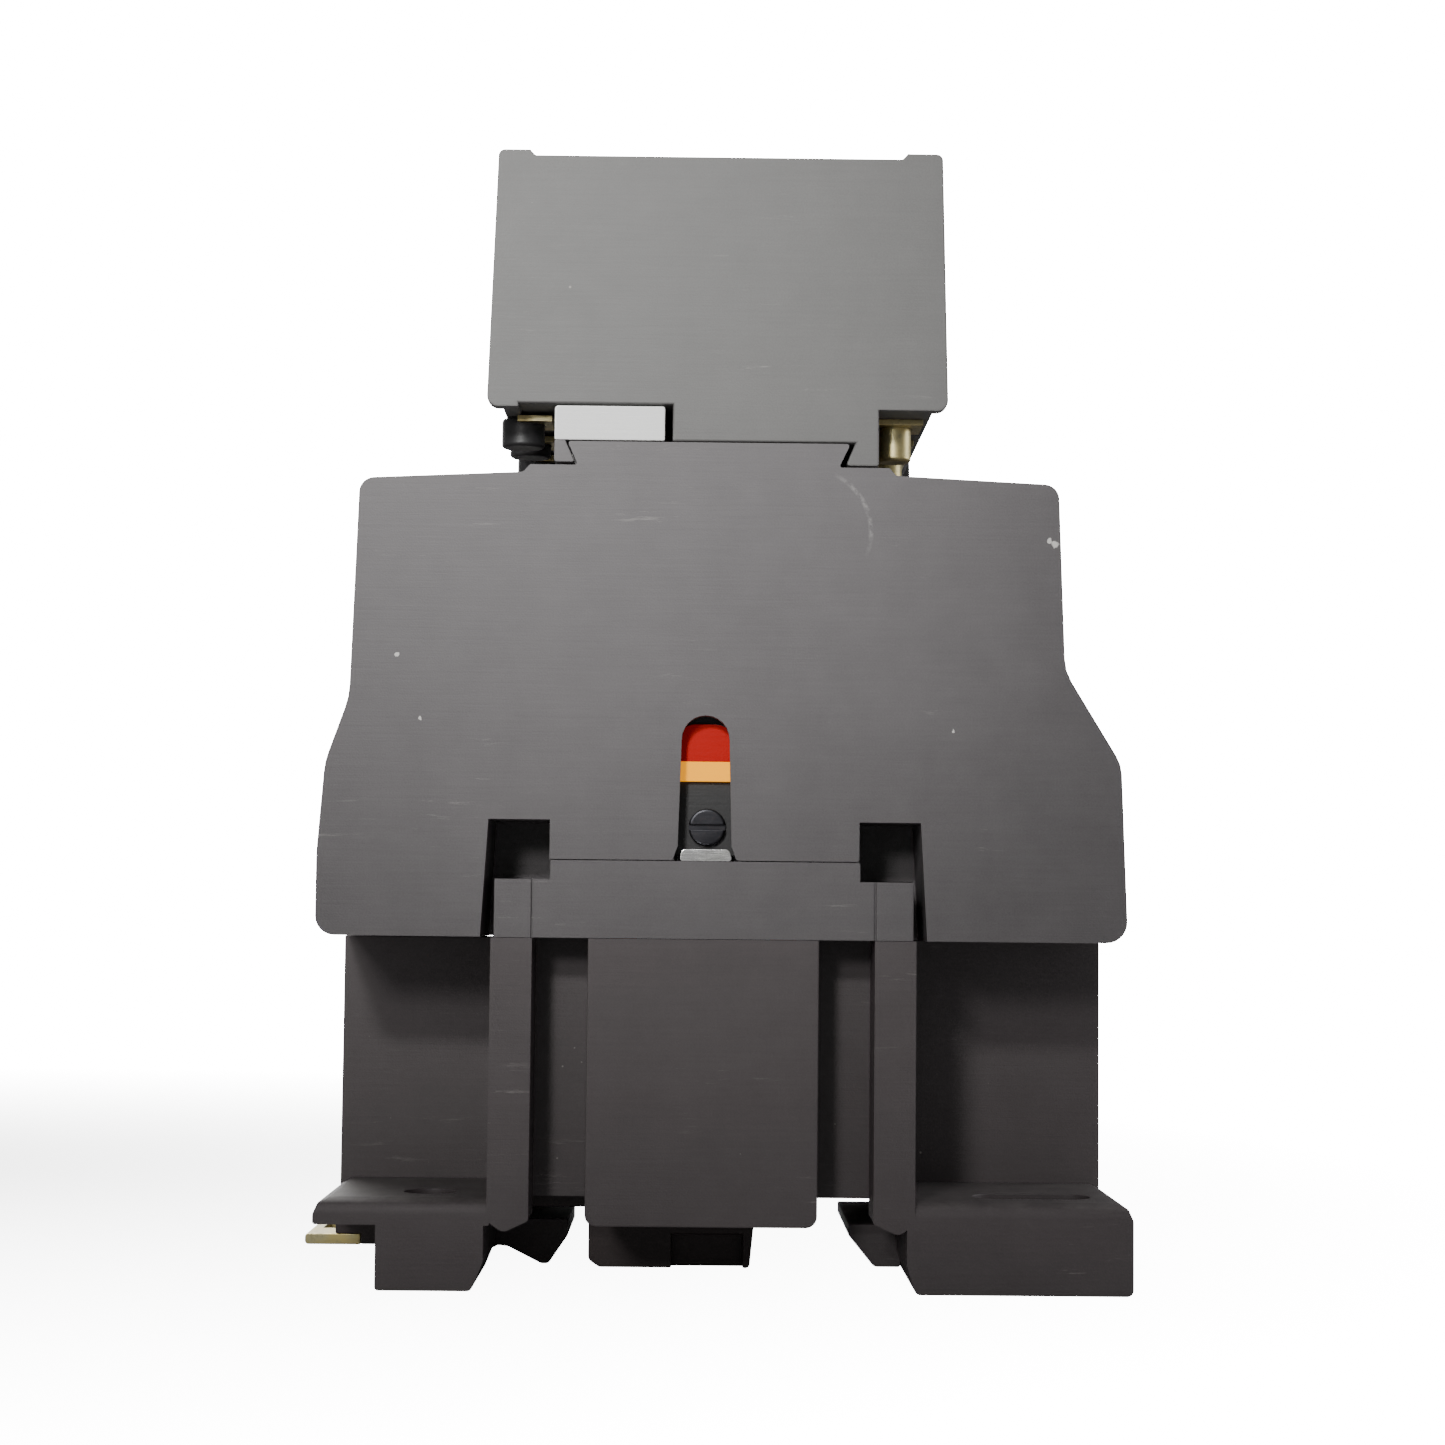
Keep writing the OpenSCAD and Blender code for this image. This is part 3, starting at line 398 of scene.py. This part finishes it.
mouldings = {
    "casing": {"colour": (0.088, 0.081, 0.085), "pale": (0.148, 0.139, 0.143), "roughness": 0.56,
               "clouds": 0.40, "streaks": 0.12, "grain": 0.30, "specks": 0.8, "scuffs": 0.30, "dust": 0.25},
    # the block's copy of the casing is paler: painted light, for the block standing highest
    "blockCasing": {"colour": (0.098, 0.096, 0.095), "pale": (0.160, 0.157, 0.154), "roughness": 0.56,
                    "clouds": 0.36, "streaks": 0.11, "grain": 0.30, "specks": 0.6, "scuffs": 0.26, "dust": 0.3},
    # the base's copy of the casing is darker and warmer: painted shade, for the base lowest down
    "baseCasing": {"colour": (0.064, 0.054, 0.056), "pale": (0.108, 0.094, 0.097), "roughness": 0.56,
                   "clouds": 0.40, "streaks": 0.11, "grain": 0.30, "specks": 0.7, "scuffs": 0.2, "dust": 0.12},
    # the dark brown moulding that colours the keel between the feet is painted shade: a dark part where the floor
    # under the base lies in shadow
    "darkMoulding": {"colour": (0.034, 0.023, 0.023), "pale": (0.058, 0.043, 0.042), "roughness": 0.5,
                     "clouds": 0.4, "streaks": 0.2, "grain": 0.2, "specks": 0.4, "scuffs": 0.3, "dust": 0.3},
    "blackMoulding": {"colour": (0.010, 0.010, 0.011), "pale": (0.022, 0.021, 0.022), "roughness": 0.5,
                      "clouds": 0.4, "streaks": 0.2, "grain": 0.2, "specks": 0.2, "scuffs": 0.2, "dust": 0.25},
    "bobbinMoulding": {"colour": (0.66, 0.60, 0.47), "pale": (0.80, 0.76, 0.64), "roughness": 0.42,
                       "clouds": 0.4, "streaks": 0.15, "grain": 0.15, "specks": 0.0, "scuffs": 0.1, "dust": 0.1},
    "arcPlate": {"colour": (0.30, 0.23, 0.15), "pale": (0.44, 0.36, 0.26), "roughness": 0.7,
                 "clouds": 0.6, "streaks": 0.7, "grain": 0.4, "specks": 0.2, "scuffs": 0.1, "dust": 0.2},
    "rubberPad": {"colour": (0.016, 0.016, 0.016), "pale": (0.032, 0.032, 0.032), "roughness": 0.8,
                  "clouds": 0.3, "streaks": 0.0, "grain": 0.4, "specks": 0.1, "scuffs": 0.0, "dust": 0.4},
    "blankLabel": {"colour": (0.60, 0.60, 0.57), "pale": (0.74, 0.74, 0.70), "roughness": 0.5,
                   "clouds": 0.5, "streaks": 0.2, "grain": 0.2, "specks": 0.0, "scuffs": 0.25, "dust": 0.2},
    # one orange signal part in two copies: the deep red is painted shade on its recessed face, the amber painted
    # light on its lit ledge
    "signalRed": {"colour": (0.44, 0.002, 0.0), "pale": (0.54, 0.006, 0.0), "roughness": 0.42,
                  "clouds": 0.4, "streaks": 0.0, "grain": 0.1, "specks": 0.0, "scuffs": 0.0, "dust": 0.0},
    "signalAmber": {"colour": (1.0, 0.40, 0.0), "pale": (1.0, 0.48, 0.0), "roughness": 0.42,
                    "clouds": 0.4, "streaks": 0.0, "grain": 0.1, "specks": 0.0, "scuffs": 0.0, "dust": 0.0},
    "latchGrey": {"colour": (0.80, 0.80, 0.80), "pale": (0.86, 0.86, 0.85), "roughness": 0.22,
                  "clouds": 0.3, "streaks": 0.1, "grain": 0.05, "specks": 0.1, "scuffs": 0.2, "dust": 0.1},
}
signalLowSpecular = {"Specular IOR Level": 0.15}  # the two copies of the signal orange reflect little; the glow given below is painted light
ownSockets = {  # values that only this moulding's shader has
    "latchGrey": {"Coat Weight": 0.6, "Coat Roughness": 0.08},
    # the emission on both signal copies is a painted glow, strong on the amber: painted light
    "signalRed": {"Emission Color": (0.5, 0.0, 0.0, 1), "Emission Strength": 0.10, **signalLowSpecular},
    "signalAmber": {"Emission Color": (1.0, 0.36, 0.0, 1), "Emission Strength": 0.85, **signalLowSpecular},
}
relief = {  # how deep each kind of surface is, and how strongly that shows
    "moulded": (0.02 * mm, 0.5), "plated": (0.01 * mm, 0.5), "layered": (0.08 * mm, 0.8),
}
casingMarks = {  # millimetres, on the near side wall
    "chips": [((36.4, -28.0, 78.0), 0.42), ((35.8, -28.0, 78.3), 0.3), ((-32.3, -28.0, 65.6), 0.24),
              ((-29.8, -28.0, 59.0), 0.2), ((25.8, -28.0, 58.2), 0.16)],
    "scratch": ((10.5, -28.0, 79.0), 6.6, ((16.4, -28.0, 81.6), 5.2), 0.2),  # centre, radius, stretch, strength
    "colour": (0.62, 0.60, 0.58),
}


def mouldedFinish(name, s):
    finish, tree, bsdf, at = startFinish(name, **ownSockets.get(name, {}))
    skin = placeGroup(tree, mouldedSkin, {
        "Millimetres": at, "Colour": (*s["colour"], 1), "Pale": (*s["pale"], 1), "Clouds": s["clouds"],
        "Streaks": s["streaks"], "Grain": s["grain"], "Roughness": s["roughness"]})
    worn = placeGroup(tree, shopWear, {
        "Millimetres": at, "Colour": skin["Colour"], "Roughness": skin["Roughness"],
        "Specks": s["specks"], "Scuffs": s["scuffs"], "Dust": s["dust"]})
    colour = worn["Colour"]
    if name == "casing":
        colour = blendColour(tree, markMask(tree, at, casingMarks), colour, (*casingMarks["colour"], 1))
    tree.links.new(colour, bsdf.inputs["Base Color"])
    tree.links.new(worn["Roughness"], bsdf.inputs["Roughness"])
    bumped(tree, bsdf, skin["Height"], *relief["moulded"])
    return finish


metals = {
    "yellowZinc": {"colour": (0.60, 0.50, 0.20), "drift": (0.50, 0.46, 0.26), "tarnish": (0.16, 0.13, 0.06),
                   "stain": 0.45, "roughness": 0.34},
    "brightSteel": {"colour": (0.72, 0.72, 0.70), "drift": (0.64, 0.64, 0.64), "tarnish": (0.22, 0.20, 0.18),
                    "stain": 0.2, "roughness": 0.24},
    "springSteel": {"colour": (0.50, 0.50, 0.50), "drift": (0.42, 0.42, 0.43), "tarnish": (0.14, 0.12, 0.1),
                    "stain": 0.3, "roughness": 0.3},
    "bareCopper": {"colour": (0.80, 0.42, 0.26), "drift": (0.70, 0.34, 0.22), "tarnish": (0.20, 0.09, 0.06),
                   "stain": 0.4, "roughness": 0.34},
    "dullBrass": {"colour": (0.60, 0.50, 0.24), "drift": (0.50, 0.45, 0.25), "tarnish": (0.20, 0.17, 0.08),
                  "stain": 0.55, "roughness": 0.4},
    "contactSilver": {"colour": (0.86, 0.84, 0.80), "drift": (0.78, 0.76, 0.74), "tarnish": (0.3, 0.27, 0.24),
                      "stain": 0.4, "roughness": 0.3},
    "blackSteel": {"colour": (0.045, 0.045, 0.05), "drift": (0.03, 0.03, 0.035), "tarnish": (0.09, 0.07, 0.06),
                   "stain": 0.3, "roughness": 0.36},
}


def metalFinish(name, s):
    finish, tree, bsdf, at = startFinish(name, Metallic=1.0)
    skin = placeGroup(tree, platedMetal, {
        "Millimetres": at, "Colour": (*s["colour"], 1), "Drift": (*s["drift"], 1),
        "Tarnish": (*s["tarnish"], 1), "Stain": s["stain"], "Roughness": s["roughness"]})
    tree.links.new(skin["Colour"], bsdf.inputs["Base Color"])
    tree.links.new(skin["Roughness"], bsdf.inputs["Roughness"])
    bumped(tree, bsdf, skin["Height"], *relief["plated"])
    return finish


def layeredFinish(name, axis, pitch, line, colour, gapColour, metallic, roughness, coat=0.0):
    finish, tree, bsdf, at = startFinish(name, Metallic=metallic)
    bsdf.inputs["Coat Weight"].default_value = coat
    along = addNode(tree, "ShaderNodeSeparateXYZ", {0: at}).outputs[axis]
    lines = placeGroup(tree, stackLines, {"Along": along, "Pitch": pitch, "Line": line})
    skin = placeGroup(tree, platedMetal, {
        "Millimetres": at, "Colour": (*colour, 1), "Drift": (*(0.8 * c for c in colour), 1),
        "Tarnish": (*(0.3 * c for c in colour), 1), "Stain": 0.5, "Roughness": roughness})
    tree.links.new(blendColour(tree, lines["Gap"], skin["Colour"], (*gapColour, 1)), bsdf.inputs["Base Color"])
    tree.links.new(skin["Roughness"], bsdf.inputs["Roughness"])
    bumped(tree, bsdf, lines["Crown"], *relief["layered"])
    return finish


finishes = {name: mouldedFinish(name, s) for name, s in mouldings.items()}
finishes.update({name: metalFinish(name, s) for name, s in metals.items()})
finishes["coreLaminations"] = layeredFinish(
    "coreLaminations", "X", 0.5, 0.25, (0.30, 0.30, 0.31), (0.05, 0.045, 0.04), 1.0, 0.45)
finishes["woundCopper"] = layeredFinish(
    "woundCopper", "Z", 0.42, 0.3, (0.42, 0.13, 0.05), (0.06, 0.02, 0.01), 0.3, 0.3, 0.5)

slotFinish = {
    "thermoset": "casing", "dark_thermoset": "darkMoulding", "zinc_steel": "yellowZinc",
    "bright_steel": "brightSteel", "spring_steel": "springSteel", "core_steel": "coreLaminations",
    "rubber": "rubberPad", "copper": "bareCopper", "winding": "woundCopper", "bobbin": "bobbinMoulding",
    "black_plastic": "blackMoulding", "black_steel": "blackSteel", "signal_red": "signalRed",
    "signal_amber": "signalAmber", "silver": "contactSilver", "brass": "dullBrass",
    "chamber": "arcPlate", "gloss_grey": "latchGrey", "label": "blankLabel",
}
ownFinish = {  # nodes whose finish differs from that of their slot; the block's paler and the base's darker casing are painted light and painted shade
    "base": "baseCasing", "coil_frame": "casing", "block_body": "blockCasing", "block_cover": "blockCasing",
}
nodeSlot = {part["node"]: part["material_slot"] for part in frame["record"]["subparts"]}
nodeBody = {n: body for body, members in frame["record"]["behaviour"]["bodies"].items() for n in members}


def finishFor(node):
    return finishes[ownFinish.get(node, slotFinish[nodeSlot[node]])]


for name, obj in nodes.items():
    obj.data.materials.clear()
    obj.data.materials.append(finishFor(name))
print("stage: finishes on every node")

# new pieces: how each is shaded, finished and tied to its node

pieceName = {n: "".join(w if i == 0 else w.capitalize() for i, w in enumerate(n.split("_"))) for n in nodes}
weld = 0.002 * mm  # points nearer than this are one


def readArray(items, label, width=1, kind=float):
    values = np.empty(len(items) * width, kind)
    items.foreach_get(label, values)
    return values.reshape(-1, width) if width > 1 else values


def evenShading(mesh, limit=50):
    # each corner faces the mean, weighed by area, of the faces round its point within the limit of its own
    point = readArray(mesh.loops, "vertex_index", kind=np.int32)
    corners = readArray(mesh.polygons, "loop_total", kind=np.int32)
    own = np.repeat(readArray(mesh.polygons, "normal", 3), corners, axis=0)
    push = own * np.repeat(readArray(mesh.polygons, "area"), corners)[:, None]
    total, order = push.copy(), np.argsort(point, kind="stable")
    closest = math.cos(math.radians(limit))
    for step in range(1, int(np.bincount(point).max())):
        a, b = order[:-step], order[step:]
        near = (point[a] == point[b]) & ((own[a] * own[b]).sum(axis=1) > closest)
        total[a[near]] += push[b[near]]
        total[b[near]] += push[a[near]]
    mesh.normals_split_custom_set(total / np.linalg.norm(total, axis=1, keepdims=True))


def standFor(node, name, mesh):
    # the mesh becomes a piece that rides, and has its finish, as the node it stands for
    mesh.shade_smooth()
    evenShading(mesh)
    mesh.materials.append(finishFor(node))
    piece = bpy.data.objects.new(name, mesh)
    bpy.context.scene.collection.objects.link(piece)
    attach(piece, nodeBody[node])
    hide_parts(node)
    return piece


def meshFrom(bm, name):
    mesh = bpy.data.meshes.new(name)
    bm.to_mesh(mesh)
    bm.free()
    return mesh


# softened mouldings: each CAD shape again with its edges rounded

edgeRound = {  # millimetres of rounding on each moulding's edges
    "housing": 0.26, "block_body": 0.26, "base": 0.2, "coil_frame": 0.16, "block_latch": 0.18,
    "block_hooks": 0.15, "block_cover": 0.2, "keel": 0.25, "rail_latch": 0.2, "latch_tab": 0.15,
    "stop_clips": 0.08, "contact_carrier": 0.2, "signal_arms": 0.08, "signal_bands": 0.08,
    "pin_screws": 0.05, "label_plate": 0.08, "slider_button": 0.2, "block_slider": 0.2,
    "barrel_plates": 0.06,
}
rounding = {
    "flatWithin": 0.6,  # degrees between faces that become one
    "sharperThan": 28,  # degrees at which an edge starts to be rounded
    "steps": 2, "fullness": 0.6, "attempts": 8,
    "crossedArea": 0.03 * mm * mm,  # a face that covers this much more than its outline crosses itself
}


def crossedFaces(bm, origin):
    # faces whose triangles cover more than the outline encloses, by the number of the face they come from
    cover = {}
    for corners in bm.calc_loop_triangles():
        a, b, c = (corner.vert.co for corner in corners)
        face = corners[0].face
        cover[face] = cover.get(face, 0.0) + (b - a).cross(c - a).length / 2
    return {face[origin] for face, area in cover.items() if area > face.calc_area() + rounding["crossedArea"]}


def roundedEdges(node, width, spared):
    # the node's faces merged and flattened, then every sharp outer edge rounded, but not those of spared faces
    bm = bmesh.new()
    bm.from_mesh(nodes[node].data)
    bmesh.ops.remove_doubles(bm, verts=bm.verts, dist=weld)
    bmesh.ops.dissolve_limit(bm, angle_limit=math.radians(rounding["flatWithin"]), verts=bm.verts, edges=bm.edges)
    origin = bm.faces.layers.int.new("origin")
    for number, face in enumerate(bm.faces):
        face[origin] = number + 1
    bend = math.radians(rounding["sharperThan"])
    sharp = [e for e in bm.edges if e.is_manifold and e.calc_face_angle_signed(0) > bend
             and not any(face[origin] in spared for face in e.link_faces)]
    bmesh.ops.bevel(bm, geom=sharp, offset=width * mm, offset_type="OFFSET", segments=rounding["steps"],
                    profile=rounding["fullness"], affect="EDGES", clamp_overlap=False, loop_slide=True)
    bmesh.ops.remove_doubles(bm, verts=bm.verts, dist=weld)
    return bm, crossedFaces(bm, origin)


def softened(node, width):
    # where rounding would make a narrow face cross itself, that face keeps its sharp edges
    spared = set()
    bm, crossed = roundedEdges(node, width, spared)
    for attempt in range(1, rounding["attempts"]):
        if not crossed - spared:
            break
        bm.free()
        spared |= crossed
        bm, crossed = roundedEdges(node, width, spared)
    print("rounded", node, "with", len(spared), "faces left sharp,", len(crossed), "still crossed")
    name = pieceName[node] + "Shell"
    return standFor(node, name, meshFrom(bm, name))


for node, width in edgeRound.items():
    softened(node, width)
print("stage: softened mouldings")

# turned ends of the block's terminals

turnedEnds = {  # millimetres: the edge's rounding, the sectors round and the steps across each rounded edge
    "rounding": 0.38, "sectors": 48, "steps": 6, "clearBetween": 2.0,
    "nodes": ["block_left_barrels", "block_right_barrels"],
}


def barrelBoxes(node, s):
    # lowest and highest corner of each barrel, found as the clusters of the node's points along y
    at = readArray(nodes[node].data.vertices, "co", 3)
    at = at[np.argsort(at[:, 1])]
    cuts = np.flatnonzero(np.diff(at[:, 1]) > s["clearBetween"] * mm) + 1
    return [(part.min(axis=0), part.max(axis=0)) for part in np.split(at, cuts)]


def turnedMesh(name, barrels, s):
    # a point at turn a and height z stands at middle + r(z) * (cos a, sin a): r is a straight wall that a
    # quarter circle joins to each flat end, and one face closes each end
    quarter = np.linspace(0, math.pi / 2, s["steps"])
    turn = np.linspace(0, 2 * math.pi, s["sectors"], endpoint=False)
    edge, around, rows = s["rounding"] * mm, len(turn), 2 * len(quarter)
    verts, faces = [], []
    for number, (lowest, highest) in enumerate(barrels):
        middle, r = (lowest + highest) / 2, (highest[0] - lowest[0]) / 2
        radius = np.concatenate([r - edge + edge * np.sin(quarter), r - edge + edge * np.cos(quarter)])
        height = np.concatenate([lowest[2] + edge - edge * np.cos(quarter),
                                 highest[2] - edge + edge * np.sin(quarter)])
        verts.append(np.stack([middle[0] + np.outer(radius, np.cos(turn)),
                               middle[1] + np.outer(radius, np.sin(turn)),
                               np.repeat(height[:, None], around, axis=1)], axis=-1).reshape(-1, 3))
        first = number * rows * around
        i, j = np.meshgrid(np.arange(rows - 1), np.arange(around), indexing="ij")
        a, b = first + i * around + j, first + i * around + (j + 1) % around
        faces += np.stack([a, b, b + around, a + around], axis=-1).reshape(-1, 4).tolist()
        faces.append((first + np.arange(around)[::-1]).tolist())
        faces.append((first + (rows - 1) * around + np.arange(around)).tolist())
    mesh = bpy.data.meshes.new(name)
    mesh.from_pydata(np.concatenate(verts), [], faces)
    return mesh


for node in turnedEnds["nodes"]:
    name = pieceName[node] + "Turned"
    standFor(node, name, turnedMesh(name, barrelBoxes(node, turnedEnds), turnedEnds))
print("stage: turned terminal ends")

# springs: each node's coils as one smooth piece, with a mesh of its own

springSet = {  # joint, axis, which end stays, travel in millimetres
    "return_springs": {"joint": "carrier_slide", "axis": 2, "stays": 0, "travel": 5.2},
    "contact_springs": {"joint": "bridge_overtravel", "axis": 2, "stays": 1, "travel": 1.7},
    "block_bridge_springs": {"joint": "make_overtravel", "axis": 2, "stays": 1, "travel": 2.0},
    "latch_spring": {"joint": "rail_latch_slide", "axis": 0, "stays": 0, "travel": 3.5},
    "block_latch_spring": {"joint": "block_latch_slide", "axis": 0, "stays": 0, "travel": 1.6},
}


def coils(node, name, wanted=lambda at: True):
    # the node's coils as one smooth mesh, without those that aren't wanted
    bm = bmesh.new()
    bm.from_mesh(nodes[node].data)
    bmesh.ops.remove_doubles(bm, verts=bm.verts, dist=weld)
    bmesh.ops.delete(bm, geom=[v for v in bm.verts if not wanted(v.co)], context="VERTS")
    return standFor(node, name, meshFrom(bm, name))


def shortens(piece, joint, axis, stays, travel):
    points = readArray(piece.data.vertices, "co", 3)
    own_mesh(piece)


for node, s in springSet.items():
    if node == "block_bridge_springs":  # only the springs of the make bridges shorten
        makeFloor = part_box("block_make_bridges")[0][2]
        coils(node, "breakSprings", lambda at: at.z <= makeFloor)
        shortens(coils(node, "makeSprings", lambda at: at.z > makeFloor), **s)
    else:
        shortens(coils(node, pieceName[node] + "Coils"), **s)
print("stage: springs")
